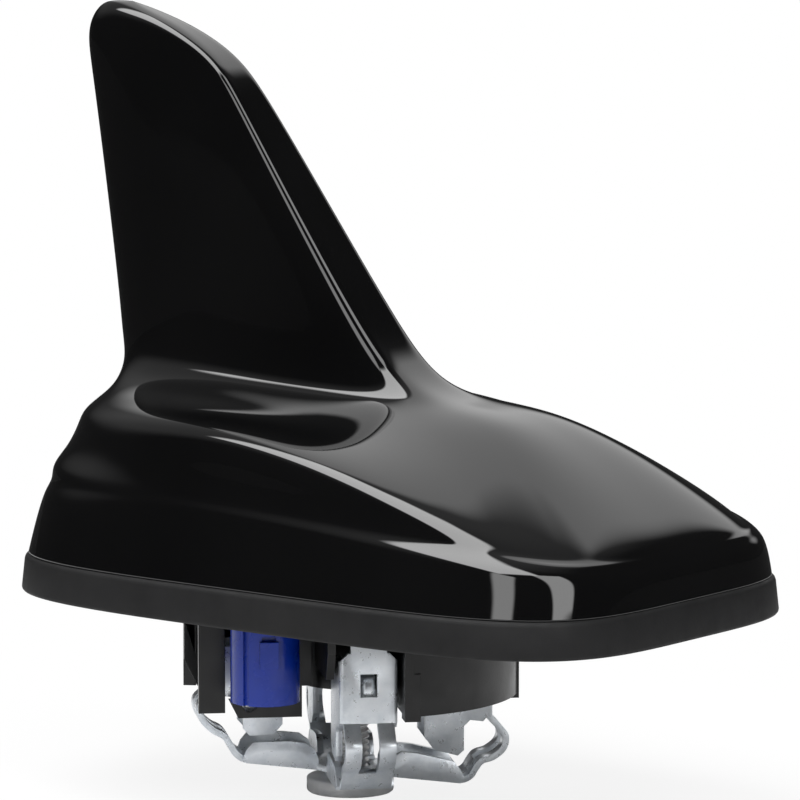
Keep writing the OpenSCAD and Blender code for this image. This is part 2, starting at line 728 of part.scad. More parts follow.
// From here down the two straps are one sheet
joined_from = 32;
window_half = 1.35;
window_low = 7;
window_h = 3.7;
module claw_web(drop) {
    top = -shoulder_deep;
    half = claw_wid / 2;
    cut = 1.3;
    low = -web_deep - drop;
    translate([claw_r - claw_t, 0, 0])
        rotate([90, 0, 90])
            linear_extrude(claw_t)
                difference() {
                    polygon([[-half, low], [half, low], [half, top - cut], [half - cut, top],
                        [neck_wid / 2, top], [neck_wid / 2, plate_z + neck_in],
                        [-neck_wid / 2, plate_z + neck_in], [-neck_wid / 2, top],
                        [-half + cut, top], [-half, top - cut]]);
                    translate([-window_half, top - window_low - drop / 2])
                        square([2 * window_half, window_h]);
                }
}
module claw_leg(hang) {
    inner = claw_r - 11;
    tongue = claw_r - 4.7;
    tongue_deep = arm_deep - 4.5;
    drop = hang * claw_r;
    lance_z = -shoulder_deep - window_low - drop / 2;
    strap_path = smooth_path(hung(strap_line, hang), 5);
    arm_end = claw_r - 5.2;
    claw_web(drop);
    // Hooked tongue of the window
    side_plate(-window_half + 0.25, window_half - 0.25)
        polygon([[claw_r - 0.2, lance_z - 0.2], [claw_r - 0.9, lance_z - 0.2],
            [claw_r - 2.9, lance_z + 3.2], [claw_r - 2.3, lance_z + 3.5]]);
    for (s = [-1, 1]) {
        y0 = s < 0 ? -flange_y : flange_y - claw_t;
        // Flange of the leg, with its lower tongue beside the arch
        side_plate(y0, y0 + claw_t)
            polygon(concat(
                hung([[claw_r - 0.5, -web_deep + 0.4], [claw_r - 1.6, -web_deep - 0.9],
                    [tongue + 1, -web_deep - 0.9], [tongue, -web_deep - 2], [tongue, -tongue_deep + 1],
                    [tongue - 1, -tongue_deep], [inner + 1.4, -tongue_deep + 0.6],
                    [inner, -tongue_deep + 2.4]], hang),
                [[inner, -shoulder_deep - 3.5], [inner + 3, -shoulder_deep - 1.5],
                    [claw_r - 0.5, -shoulder_deep - 1.5]]));
        // Strap
        side_plate(s < 0 ? -strap_out : strap_y, s < 0 ? -strap_y : strap_out)
            polygon(ribbon(strap_path, claw_t));
        // Flange of the arm
        side_plate(y0, y0 + claw_t)
            polygon(hung([[claw_r - 4.6, floor_z], [claw_r - 5.2, floor_z + 1.6], [claw_r - 6.2, floor_z + 2.9],
                [claw_r - 8, floor_z + 3.2], [claw_r - 12, floor_z + 3.7],
                [claw_r - 14.8, floor_z + 3.7], [claw_r - 16.2, floor_z + 2.8],
                [claw_r - 16.8, floor_z + 1.2], [claw_r - 16.8, floor_z]], hang));
    }
    // Foot of the leg, where both straps join
    side_plate(-strap_out, strap_out)
        polygon(ribbon([for (i = [joined_from:len(strap_path) - 1]) strap_path[i]], claw_t));
    // Floor of the arm
    side_plate(-flange_y, flange_y)
        polygon(hung([[ring_r - 3, floor_z - claw_t / 2], [arm_end, floor_z - claw_t / 2],
            [arm_end, floor_z + claw_t / 2], [ring_r - 3, floor_z + claw_t / 2]], hang));
}
module claw_spring() {
    color("#b8bec6")
        difference() {
            union() {
                for (a = leg_angles)
                    rotate([0, 0, a]) claw_leg(hang_of(a));
                translate([0, 0, floor_z])
                    rotate(a = claw_hang, v = [-sin(hang_turn), cos(hang_turn), 0])
                        rod(ring_r, -claw_t / 2, claw_t / 2);
            }
            rod(screw_r + 0.3, -arm_deep - 2, -arm_deep + claw_t + 2);
        }
}

// Clamp screw: flat head below the ring, shank up into the insert
head_top = -arm_deep - head_gap;
screw_end = -7;
module clamp_screw() {
    color("#9a9ea5")
        difference() {
            union() {
                rod(head_r, head_top - head_t, head_top);
                rod(screw_r, head_top - eps, screw_end);
            }
            translate([0, 0, head_top - head_t - 1])
                cylinder(h = drive_deep + 1, r = drive_af / 2 / cos(30), $fn = 6);
        }
}
module threaded_insert() {
    color("#c9a24e")
        tube(insert_r, screw_r + screw_clear, -hub_deep + 0.2, -hub_deep + 0.2 + insert_len);
}

// Small screws
module small_screw(shank_r, head_r, z_tip, z_seat, head_h, up) {
    z0 = up ? z_seat : z_seat - head_h;
    rod(shank_r, min(z_tip, z_seat), max(z_tip, z_seat));
    difference() {
        rod(head_r, z0, z0 + head_h);
        translate([0, 0, up ? z0 + head_h / 2 : z0 - 1])
            cylinder(h = 1 + head_h / 2, r = head_r * 0.45, $fn = 6);
    }
}
module board_screws() {
    color("#c8cacd")
        for (p = board_spots)
            translate(p) small_screw(board_screw_r, 2.1, plate_z + 1.4, board_top, 1.4, true);
}
module cover_screws() {
    color("#8f9297")
        for (p = boss_spots)
            translate(p)
                small_screw(cover_screw_r, 2.6, plate_z + head_pit + cover_screw_len, plate_z + head_pit,
                    1.2, false);
}

fin_cover();
rim_gasket();
cover_seal();
base_plate();
main_board();
gps_patch();
gps_patch_plate();
gps_feed_pin();
shield_can();
fin_board();
fin_radiator();
fin_board_holder();
contact_spring();
socket_housing_right();
socket_tube_right();
socket_insulator_right();
socket_pin_right();
socket_housing_left();
socket_tube_left();
socket_insulator_left();
socket_pin_left();
claw_spring();
clamp_screw();
threaded_insert();
board_screws();
cover_screws();
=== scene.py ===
import json
import math

import bmesh
import bpy
import numpy as np
from mathutils import Matrix, Vector


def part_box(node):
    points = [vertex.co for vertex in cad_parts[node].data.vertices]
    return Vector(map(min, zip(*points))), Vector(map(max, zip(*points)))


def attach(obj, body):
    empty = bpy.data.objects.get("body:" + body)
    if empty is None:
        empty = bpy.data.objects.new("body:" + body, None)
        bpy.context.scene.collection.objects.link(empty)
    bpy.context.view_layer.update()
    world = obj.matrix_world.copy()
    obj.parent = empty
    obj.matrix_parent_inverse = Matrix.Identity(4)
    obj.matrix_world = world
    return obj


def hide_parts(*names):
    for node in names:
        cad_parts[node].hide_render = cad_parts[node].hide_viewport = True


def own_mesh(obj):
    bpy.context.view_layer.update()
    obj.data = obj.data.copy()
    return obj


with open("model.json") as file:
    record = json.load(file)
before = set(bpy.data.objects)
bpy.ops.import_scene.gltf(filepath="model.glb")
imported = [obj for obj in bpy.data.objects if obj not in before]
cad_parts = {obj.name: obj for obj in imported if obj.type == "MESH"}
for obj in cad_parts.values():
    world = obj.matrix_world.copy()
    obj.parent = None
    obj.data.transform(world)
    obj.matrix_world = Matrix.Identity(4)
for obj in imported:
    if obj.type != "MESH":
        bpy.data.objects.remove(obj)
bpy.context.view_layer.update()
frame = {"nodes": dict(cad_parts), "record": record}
nodes = frame["nodes"]
MM = 0.001

# Sizes of the rim and the cover in mm, the same as in the part's source
RIM_LEN = 118.5
RIM_WID = 75.5
RIM_AHEAD = 8.5
RIM_H = 6
RIM_SQUARE = 4.1
RIM_TAPER = 0.04
RIM_BAND = 4.6
FLANGE_WID = 5
FLANGE_T = 1.5
COVER_IN = 1.1
COVER_WALL = 2.2
STEP_NOSE_Z, STEP_SIDE_Z, STEP_REAR_Z = 11.8, 17.3, 17.6
BROW_NOSE_Z, BROW_SIDE_Z, BROW_REAR_Z = 17, 26.2, 28.8
CREST_Z = 33.6
HOLLOW_Z = 28
FIN_TOP_Z = 93.3
FIN_BEND_X = -23.8
FIN_BEND_DROP = 8.9
FIN_REAR_X = -44.8
FIN_NOSE_X = 23.2
FIN_LEAN = 8.4
FIN_HALF = 6
FIN_TIP_HALF = 3.8


# Camera: it looks at a point beside the clamp screw from the nose's right side
CAMERA_AZIMUTH = 37
CAMERA_PITCH = 7.72
CAMERA_DISTANCE = 992 * MM
PIXELS_PER_MM = 6.244
PICTURE_WIDTH = 800
SENSOR_WIDTH = 36
NEAREST, FARTHEST = 0.01, 20
AIM_RIGHT = 8.0 * MM
AIM_UP = 31.2 * MM


def make_camera():
    az, pitch = math.radians(CAMERA_AZIMUTH), math.radians(CAMERA_PITCH)
    right = Vector((math.cos(az), math.sin(az), 0))
    ahead = Vector((-math.sin(az) * math.cos(pitch), math.cos(az) * math.cos(pitch), -math.sin(pitch)))
    up = right.cross(ahead)
    data = bpy.data.cameras.new("camera")
    camera = bpy.data.objects.new("camera", data)
    bpy.context.scene.collection.objects.link(camera)
    data.sensor_width = SENSOR_WIDTH
    data.lens = SENSOR_WIDTH * PIXELS_PER_MM * (CAMERA_DISTANCE / MM) / PICTURE_WIDTH
    data.clip_start, data.clip_end = NEAREST, FARTHEST
    camera.location = right * AIM_RIGHT + up * AIM_UP - ahead * CAMERA_DISTANCE
    camera.rotation_mode = "QUATERNION"
    camera.rotation_quaternion = Matrix((right, up, -ahead)).transposed().to_quaternion()
    bpy.context.scene.camera = camera


make_camera()


# Material building: the span in which noise mostly lies, and the optics of plain and gloss plastic
NOISE_LOW, NOISE_HIGH = 0.25, 0.75
PLASTIC_IOR = 1.5
GLOSS_IOR = 1.68
# The wave node turns so many radians in each unit of its scale
WAVE_RADIANS = 20


class Nodes:
    """Short names for the nodes of one material."""

    def __init__(self, name):
        self.material = bpy.data.materials.new(name)
        self.material.use_nodes = True
        self.tree = self.material.node_tree
        self.shader = self.tree.nodes["Principled BSDF"]
        self.place = self.tree.nodes.new("ShaderNodeTexCoord").outputs["Object"]

    def link(self, a, b):
        self.tree.links.new(a, b)

    def noise(self, size_mm, detail=3.0, roughness=0.5):
        node = self.tree.nodes.new("ShaderNodeTexNoise")
        node.inputs["Scale"].default_value = 1 / (size_mm * MM)
        node.inputs["Detail"].default_value = detail
        node.inputs["Roughness"].default_value = roughness
        self.link(self.place, node.inputs["Vector"])
        return node.outputs["Fac"]

    def spread(self, fac, low, high):
        node = self.tree.nodes.new("ShaderNodeMapRange")
        node.inputs["From Min"].default_value = NOISE_LOW
        node.inputs["From Max"].default_value = NOISE_HIGH
        node.inputs["To Min"].default_value = low
        node.inputs["To Max"].default_value = high
        self.link(fac, node.inputs["Value"])
        return node.outputs["Result"]

    def colours(self, fac, stops):
        node = self.tree.nodes.new("ShaderNodeValToRGB")
        ramp = node.color_ramp
        while len(ramp.elements) < len(stops):
            ramp.elements.new(0.5)
        for element, (at, colour) in zip(ramp.elements, stops):
            element.position = at
            element.color = (*colour, 1)
        self.link(fac, node.inputs["Fac"])
        return node.outputs["Color"]

    def bump(self, height, depth_mm, strength=1.0, normal=None):
        node = self.tree.nodes.new("ShaderNodeBump")
        node.inputs["Distance"].default_value = depth_mm * MM
        node.inputs["Strength"].default_value = strength
        self.link(height, node.inputs["Height"])
        if normal is not None:
            self.link(normal, node.inputs["Normal"])
        return node.outputs["Normal"]

    def rounded(self, radius_mm):
        node = self.tree.nodes.new("ShaderNodeBevel")
        node.samples = 6
        node.inputs["Radius"].default_value = radius_mm * MM
        return node.outputs["Normal"]


def blended(colour, share):
    return tuple(min(1.0, c * share) for c in colour)


def finish_material(name, colour, rough, metal=0.0, grain_mm=1.0, grain_deep=0.0, tone=0.12,
                    rough_spread=0.06, edge=0.0):
    """A finish with a drifting tone, uneven roughness, a fine grain and rounded edges."""
    n = Nodes(name)
    drift = n.noise(18, 2)
    n.link(n.colours(drift, [(0.3, blended(colour, 1 - tone)), (0.7, blended(colour, 1 + tone))]),
           n.shader.inputs["Base Color"])
    n.link(n.spread(n.noise(3.5, 4), rough - rough_spread, rough + rough_spread),
           n.shader.inputs["Roughness"])
    n.shader.inputs["Metallic"].default_value = metal
    n.shader.inputs["IOR"].default_value = PLASTIC_IOR
    normal = n.rounded(edge) if edge else None
    if grain_deep:
        normal = n.bump(n.noise(grain_mm, 3), grain_deep, 1.0, normal)
    if normal is not None:
        n.link(normal, n.shader.inputs["Normal"])
    return n.material


def gloss_black():
    """Deep black moulding under a clear gloss, with faint flow in the surface."""
    n = Nodes("gloss_black")
    n.link(n.colours(n.noise(30, 2), [(0.3, (0.002, 0.002, 0.0022)), (0.7, (0.0035, 0.0035, 0.0037))]),
           n.shader.inputs["Base Color"])
    n.link(n.spread(n.noise(12, 3), 0.028, 0.05), n.shader.inputs["Roughness"])
    n.shader.inputs["IOR"].default_value = GLOSS_IOR
    n.link(n.bump(n.noise(9, 2), 0.004, 0.35), n.shader.inputs["Normal"])
    return n.material


def rim_rubber():
    """Matte rubber with a fine spark-eroded grain and paler rubbed spots."""
    n = Nodes("rim_rubber")
    fine = n.noise(0.35, 4, 0.6)
    n.link(n.colours(n.noise(7, 4), [(0.3, (0.0085, 0.0085, 0.009)), (0.72, (0.0135, 0.0135, 0.014))]),
           n.shader.inputs["Base Color"])
    n.link(n.spread(n.noise(2.5, 4), 0.55, 0.7), n.shader.inputs["Roughness"])
    n.shader.inputs["Specular IOR Level"].default_value = 0.3
    n.link(n.bump(fine, 0.03, 0.6), n.shader.inputs["Normal"])
    return n.material


def zinc_sheet():
    """Bright zinc plate: cloudy blue-grey tone, faint rolling lines and duller blotches."""
    n = Nodes("zinc_sheet")
    cloud = n.noise(4, 6, 0.65)
    tones = [(0.28, (0.62, 0.67, 0.72)), (0.5, (0.80, 0.84, 0.88)), (0.72, (0.90, 0.93, 0.96))]
    n.link(n.colours(cloud, tones), n.shader.inputs["Base Color"])
    n.shader.inputs["Metallic"].default_value = 0.65
    n.link(n.spread(n.noise(1.4, 6, 0.7), 0.2, 0.46), n.shader.inputs["Roughness"])
    n.link(n.bump(n.noise(0.8, 4, 0.6), 0.012, 0.5), n.shader.inputs["Normal"])
    return n.material


def turned_metal(name, colour, rough, line_mm, metal=1.0, edge=0.15):
    """Turned metal: fine rings of the tool round the vertical axis."""
    n = Nodes(name)
    wave = n.tree.nodes.new("ShaderNodeTexWave")
    wave.wave_type = "RINGS"
    wave.rings_direction = "Z"
    wave.inputs["Scale"].default_value = 1 / (line_mm * MM) / WAVE_RADIANS
    wave.inputs["Distortion"].default_value = 0.4
    wave.inputs["Detail"].default_value = 2
    n.link(n.place, wave.inputs["Vector"])
    n.link(n.colours(n.noise(4, 4), [(0.3, blended(colour, 0.88)), (0.7, blended(colour, 1.1))]),
           n.shader.inputs["Base Color"])
    n.shader.inputs["Metallic"].default_value = metal
    n.link(n.spread(n.noise(1.2, 4), rough - 0.06, rough + 0.08), n.shader.inputs["Roughness"])
    normal = n.rounded(edge) if edge else None
    n.link(n.bump(wave.outputs["Fac"], 0.008, 0.5, normal), n.shader.inputs["Normal"])
    return n.material


def board_green():
    """Solder mask over copper tracks: straight raised lines in two directions."""
    n = Nodes("board_green")
    brick = n.tree.nodes.new("ShaderNodeTexBrick")
    brick.inputs["Scale"].default_value = 1 / (6 * MM)
    brick.inputs["Mortar Size"].default_value = 0.05
    brick.inputs["Color1"].default_value = (0.012, 0.10, 0.038, 1)
    brick.inputs["Color2"].default_value = (0.014, 0.115, 0.045, 1)
    brick.inputs["Mortar"].default_value = (0.03, 0.19, 0.08, 1)
    n.link(n.place, brick.inputs["Vector"])
    n.link(brick.outputs["Color"], n.shader.inputs["Base Color"])
    n.link(n.spread(n.noise(2, 3), 0.28, 0.42), n.shader.inputs["Roughness"])
    n.link(n.bump(brick.outputs["Fac"], 0.03, 0.5), n.shader.inputs["Normal"])
    return n.material


finishes = {
    "gloss_black": gloss_black(),
    "rim_rubber": rim_rubber(),
    "seal_rubber": finish_material("seal_rubber", (0.03, 0.03, 0.032), 0.6, grain_mm=0.4,
                                   grain_deep=0.02),
    "base_plastic": finish_material("base_plastic", (0.003, 0.003, 0.0033), 0.33, grain_mm=0.5,
                                    grain_deep=0.012, edge=0.2),
    "board_green": board_green(),
    "patch_ceramic": finish_material("patch_ceramic", (0.62, 0.55, 0.42), 0.55, grain_mm=0.3,
                                     grain_deep=0.02, tone=0.06, edge=0.1),
    "silver_plate": finish_material("silver_plate", (0.72, 0.72, 0.7), 0.3, metal=1.0, grain_mm=0.4,
                                    grain_deep=0.01),
    "gold_contact": finish_material("gold_contact", (0.83, 0.6, 0.24), 0.2, metal=1.0, tone=0.08,
                                    edge=0.05),
    "tin_sheet": finish_material("tin_sheet", (0.62, 0.63, 0.64), 0.3, metal=1.0, grain_mm=1.2,
                                 grain_deep=0.02, edge=0.12),
    "copper_foil": finish_material("copper_foil", (0.75, 0.36, 0.2), 0.26, metal=1.0, tone=0.14),
    "holder_plastic": finish_material("holder_plastic", (0.02, 0.02, 0.022), 0.42, grain_deep=0.01,
                                      edge=0.15),
    "socket_blue": finish_material("socket_blue", (0.003, 0.034, 0.38), 0.26, grain_mm=0.6,
                                   grain_deep=0.008, tone=0.1, edge=0.18),
    "socket_claret": finish_material("socket_claret", (0.16, 0.01, 0.045), 0.33, grain_mm=0.6,
                                     grain_deep=0.008, tone=0.1, edge=0.18),
    "socket_metal": turned_metal("socket_metal", (0.8, 0.62, 0.34), 0.24, 0.3),
    "white_plastic": finish_material("white_plastic", (0.8, 0.8, 0.77), 0.4, tone=0.04, edge=0.1),
    "zinc_sheet": zinc_sheet(),
    "screw_steel": turned_metal("screw_steel", (0.84, 0.84, 0.84), 0.34, 0.35, 0.45, 0),
    "insert_brass": turned_metal("insert_brass", (0.76, 0.56, 0.26), 0.28, 0.3),
    "small_steel": turned_metal("small_steel", (0.6, 0.61, 0.63), 0.3, 0.25),
}


def dress(obj, slot):
    obj.data.materials.clear()
    obj.data.materials.append(finishes[slot])


for part in frame["record"]["subparts"]:
    dress(nodes[part["node"]], part["material_slot"])


# Meshes
def add_piece(name, points, faces, body, slot, replaces=()):
    """A new mesh from points in mm, riding on a body."""
    mesh = bpy.data.meshes.new(name)
    mesh.from_pydata([tuple(p) for p in np.asarray(points, float) * MM], [], faces)
    mesh.validate()
    mesh.update()
    obj = bpy.data.objects.new(name, mesh)
    bpy.context.scene.collection.objects.link(obj)
    mesh.polygons.foreach_set("use_smooth", [True] * len(mesh.polygons))
    dress(obj, slot)
    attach(obj, body)
    if replaces:
        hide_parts(*replaces)
    return obj


def grid_faces(rows, count, first=0, flip=False):
    """Quads between neighbouring closed rings."""
    faces = []
    for i in range(rows - 1):
        for j in range(count):
            k = (j + 1) % count
            a, b = first + i * count, first + (i + 1) * count
            quad = (a + j, a + k, b + k, b + j)
            faces.append(quad[::-1] if flip else quad)
    return faces


def squared(angles, n):
    c, s = np.cos(angles), np.sin(angles)
    q = (np.abs(c) ** n + np.abs(s) ** n) ** (-1 / n)
    return c * q, s * q


# How the shoulder rises beside the fin and falls to the nose's corners: place along the length,
# from -1 at the rear to 1 at the nose, and rise in mm
SHOULDER = np.array([
    [-1.0, 0.0], [-0.8, 0.6], [-0.5, 1.9], [-0.22, 2.7], [0.08, 2.1], [0.27, 1.1],
    [0.46, -0.2], [0.61, -1.2], [0.76, -2.0], [0.9, -1.9], [1.0, -1.2]])


def shoulder_rise(along):
    """Smooth curve through the shoulder's points."""
    x, y = SHOULDER[:, 0], SHOULDER[:, 1]
    slope = np.gradient(y, x)
    slope[[0, -1]] = 0
    k = np.clip(np.searchsorted(x, along) - 1, 0, len(x) - 2)
    step = x[k + 1] - x[k]
    t = (along - x[k]) / step
    return ((2 * t ** 3 - 3 * t ** 2 + 1) * y[k] + (t ** 3 - 2 * t ** 2 + t) * step * slope[k]
            + (3 * t ** 2 - 2 * t ** 3) * y[k + 1] + (t ** 3 - t ** 2) * step * slope[k + 1])


# The cover's rows from its foot to the fin's tip: front x, rear x, half width, taper, squareness,
# height at nose, side and rear, and what the squareness gains towards the rear
skin_front = RIM_AHEAD + RIM_LEN / 2 - COVER_IN
skin_rear = RIM_AHEAD - RIM_LEN / 2 + COVER_IN
skin_half = RIM_WID / 2 - COVER_IN
bend_z = FIN_TOP_Z - FIN_BEND_DROP
mid_z = (CREST_Z + bend_z) / 2
SKIN_ROWS = np.array([
    [skin_front, skin_rear, skin_half, RIM_TAPER, 4.2, RIM_H, RIM_H, RIM_H, 0],
    [skin_front - 0.2, skin_rear + 1, skin_half - 0.8, RIM_TAPER, 4.2,
        RIM_H + 2.8, RIM_H + 4.4, RIM_H + 4.6, 0],
    [skin_front - 0.4, skin_rear + 2.4, skin_half - 1.6, RIM_TAPER, 4.1,
        STEP_NOSE_Z - 1, STEP_SIDE_Z - 1.5, STEP_REAR_Z - 1.6, 0],
    [skin_front - 0.9, skin_rear + 3.1, skin_half - 2.1, RIM_TAPER, 4.1,
        STEP_NOSE_Z, STEP_SIDE_Z, STEP_REAR_Z, -0.35],
    [skin_front - 1.4, skin_rear + 3.5, skin_half - 2.85, RIM_TAPER, 4,
        STEP_NOSE_Z + 0.7, STEP_SIDE_Z + 1.2, STEP_REAR_Z + 2.5, 0.2],
    [skin_front - 1.8, skin_rear + 3.4, skin_half - 3.6, RIM_TAPER, 4,
        STEP_NOSE_Z + 1.9, STEP_SIDE_Z + 3.1, STEP_REAR_Z + 4.9, -0.9],
    [skin_front - 2.1, FIN_REAR_X, skin_half - 3.7, RIM_TAPER, 3.7,
        BROW_NOSE_Z - 2.2, BROW_SIDE_Z - 2.4, BROW_REAR_Z - 2.1, -0.85],
    [skin_front - 3.4, FIN_REAR_X + 0.7, skin_half - 5.2, RIM_TAPER, 3.3,
        BROW_NOSE_Z, BROW_SIDE_Z, BROW_REAR_Z, -0.3],
    [FIN_NOSE_X + 28.1, FIN_REAR_X + 0.2, skin_half - 11.5, RIM_TAPER, 3.1,
        BROW_NOSE_Z + 8.8, HOLLOW_Z + 0.8, BROW_REAR_Z + 2, -0.85],
    [FIN_NOSE_X + 13.5, FIN_REAR_X - 0.3, FIN_HALF + 8.5, RIM_TAPER, 3.2,
        CREST_Z - 1.1, HOLLOW_Z + 2.8, CREST_Z - 0.6, -1],
    [FIN_NOSE_X - 0.2, FIN_REAR_X - 0.2, FIN_HALF + 3, 0.06, 3.6,
        CREST_Z - 0.7, HOLLOW_Z + 5.2, CREST_Z + 2.2, -1.3],
    [FIN_NOSE_X - 9.4, FIN_REAR_X - 1, FIN_HALF + 0.8, 0.08, 5.2,
        CREST_Z + 2.1, HOLLOW_Z + 8.2, CREST_Z + 6.2, -2.6],
    [FIN_NOSE_X - 17.5, FIN_REAR_X - 1.8, FIN_HALF, 0.1, 7.5,
        CREST_Z + 11, CREST_Z + 12.2, CREST_Z + 13.2, -4.9],
    [(FIN_NOSE_X - 17.5 + FIN_BEND_X) / 2, FIN_REAR_X - FIN_LEAN * 0.55,
        (FIN_HALF + FIN_TIP_HALF) / 2 + 0.2, 0.1, 8.5, mid_z + 5.7, mid_z + 6.9, mid_z + 6.9, -5.9],
    [FIN_BEND_X + 4.1, FIN_REAR_X - FIN_LEAN * 0.85, FIN_TIP_HALF + 0.5, 0.08, 8.5,
        bend_z - 5, bend_z - 3.6, bend_z - 3.1, -5.9],
    [FIN_BEND_X, FIN_REAR_X - FIN_LEAN, FIN_TIP_HALF, 0.06, 7,
        bend_z - 0.2, bend_z + 2.3, bend_z + 2.9, -4.4],
    [FIN_BEND_X - 4.8, FIN_REAR_X - FIN_LEAN + 1, FIN_TIP_HALF - 0.35, 0.04, 5,
        FIN_TOP_Z - 5.9, FIN_TOP_Z - 3.4, FIN_TOP_Z - 2.6, -2.4],
    [FIN_BEND_X - 10.4, FIN_REAR_X - FIN_LEAN + 3, FIN_TIP_HALF - 1.3, 0, 3.5,
        FIN_TOP_Z - 3.2, FIN_TOP_Z - 1.5, FIN_TOP_Z - 0.4, -1],
    [FIN_REAR_X + 4.4, FIN_REAR_X - 3.2, FIN_TIP_HALF - 2.7, 0, 3,
        FIN_TOP_Z - 1.2, FIN_TOP_Z - 0.35, FIN_TOP_Z, 0],
    [FIN_REAR_X + 0.4, FIN_REAR_X, 0.02, 0, 2.4, FIN_TOP_Z, FIN_TOP_Z, FIN_TOP_Z, 0]])
# A tenth value says how much of the shoulder's rise a row takes up
shoulder_share = np.zeros(len(SKIN_ROWS))
shoulder_share[5:10] = 0.25, 1.0, 1.0, 0.75, 0.25
SKIN_ROWS = np.hstack([SKIN_ROWS, shoulder_share[:, None]])


def row_at(rows, v):
    """Row between the given ones, by a cubic blend of the four nearest."""
    padded = np.vstack([2 * rows[0] - rows[1], rows, 2 * rows[-1] - rows[-2]])
    k = min(int(v), len(rows) - 2)
    f = v - k
    weights = [(1 - f) ** 3, 3 * f ** 3 - 6 * f * f + 4, -3 * f ** 3 + 3 * f * f + 3 * f + 1, f ** 3]
    return sum(w * padded[k + i] for i, w in enumerate(weights)) / 6


RING_STEPS = 4001
RING_SQUARE = 5
RING_LONG = 1.3
EVEN_SHARE = 0.65


def even_angles(count):
    """Angles that lie evenly along a squarish ring, so its corners get their share of points."""
    fine = np.linspace(0, 2 * math.pi, RING_STEPS)
    c, s = squared(fine, RING_SQUARE)
    length = np.concatenate([[0], np.cumsum(np.hypot(np.diff(RING_LONG * c), np.diff(s)))])
    even = np.interp(np.linspace(0, length[-1], count, endpoint=False), length, fine)
    plain = np.linspace(0, 2 * math.pi, count, endpoint=False)
    return EVEN_SHARE * even + (1 - EVEN_SHARE) * plain


def ring_points(row, count):
    """A row as a closed ring of points, by the angle from the nose."""
    front, rear, half, taper, n, nose_z, side_z, rear_z, gain, share = row
    angles = even_angles(count)
    c, s = squared(angles, n + gain * (1 - np.cos(angles)) / 2)
    return np.stack([
        (front + rear) / 2 + (front - rear) / 2 * c,
        half * s * (1 + taper * c),
        side_z + (nose_z - rear_z) / 2 * c + ((nose_z + rear_z) / 2 - side_z) * c * c
        + share * shoulder_rise(np.clip(c, -1, 1))], -1)


# Rows of the outer skin that the inner one follows, and rows over which its wall builds up
BORE_ROWS = 16
FOOT_ROWS = 5


def cover_mesh():
    """Fine outer skin, plain inner skin and the foot that joins them."""
    around, up, inner_up = 380, 230, 24
    last = len(SKIN_ROWS) - 1
    outer = [ring_points(row_at(SKIN_ROWS, last * i / up), around) for i in range(up + 1)]
    sink = COVER_WALL * np.minimum(1, np.arange(BORE_ROWS) / FOOT_ROWS)
    bore = SKIN_ROWS[:BORE_ROWS].copy()
    bore[:, 0] -= COVER_WALL
    bore[:, 1] += COVER_WALL
    bore[:, 2] = np.maximum(bore[:, 2] - COVER_WALL, 0.4)
    bore[:, 5:8] -= sink[:, None]
    inner = [ring_points(row_at(bore, (BORE_ROWS - 1) * i / inner_up), around)
             for i in range(inner_up + 1)]
    points = np.concatenate(outer + inner)
    first = (up + 1) * around
    faces = grid_faces(up + 1, around)
    faces += grid_faces(inner_up + 1, around, first, flip=True)
    faces += [(j, first + j, first + (j + 1) % around, (j + 1) % around) for j in range(around)]
    faces.append(tuple(range(up * around, (up + 1) * around)))
    faces.append(tuple(range(first + inner_up * around, first + (inner_up + 1) * around))[::-1])
    add_piece("cover_skin", points, faces, "aerial", "gloss_black", ["fin_cover"])


cover_mesh()


def rim_mesh():
    """Rubber rim: a drafted band with rounded edges, and the flat flange inside it. The profile
    gives how far a ring lies inside the outline, and its height."""
    around = 360
    flange_in = RIM_BAND + FLANGE_WID
    profile = [
        (0.5, 0), (0.2, 0.08), (0.04, 0.3), (0.0, 0.6),
        (0.42, RIM_H - 0.9), (0.55, RIM_H - 0.5), (0.8, RIM_H - 0.18), (1.1, RIM_H),
        (RIM_BAND, RIM_H), (RIM_BAND, FLANGE_T), (flange_in, FLANGE_T), (flange_in, 0)]
    angles = np.linspace(0, 2 * math.pi, around, endpoint=False)
    c, s = squared(angles, RIM_SQUARE)
    rings = [np.stack([
        RIM_AHEAD + (RIM_LEN / 2 - inset) * c,
        (RIM_WID / 2 - inset) * s * (1 + RIM_TAPER * c),
        np.full(around, z)], -1) for inset, z in profile]
    faces = grid_faces(len(rings), around)
    last = (len(rings) - 1) * around
    faces += [(last + j, last + (j + 1) % around, (j + 1) % around, j) for j in range(around)]
    rim = add_piece("rim_band", np.concatenate(rings), faces, "aerial", "rim_rubber", ["rim_gasket"])
    rim.data.set_sharp_from_angle(angle=math.radians(40))


rim_mesh()


# Claw sizes in mm, the same as in the part's source, and how far its folds and edges are rolled
CLAW_R = 22.5
CLAW_WID = 9.2
FLANGE_Y = CLAW_WID / 2
CLAW_HANG = 7
SHOULDER_DEEP = 5.6
WINDOW_LOW = 7
WINDOW_H = 3.7
WINDOW_HALF = 1.35
LEG_TURNS = (45, 135, 225, 315)
FOLD = 0.65
EDGE = 0.1


def claw_edge_kind(edge):
    """0 for a smooth edge, 1 for a cut edge of the sheet, 2 for the outer side of a leg's fold."""
    if len(edge.link_faces) != 2 or edge.calc_face_angle(0) < math.radians(32):
        return 0
    a, b = edge.verts[0].co / MM, edge.verts[1].co / MM
    if abs(a.z - b.z) > 2 and math.hypot(a.x - b.x, a.y - b.y) < 0.1:
        turn = round(math.degrees(math.atan2(a.y, a.x)) / 90 - 0.5) * 90 + 45
        leg = Matrix.Rotation(-math.radians(turn), 3, "Z") @ a
        if abs(leg.x - CLAW_R) < 0.05 and abs(abs(leg.y) - FLANGE_Y) < 0.05:
            return 2
    return 1


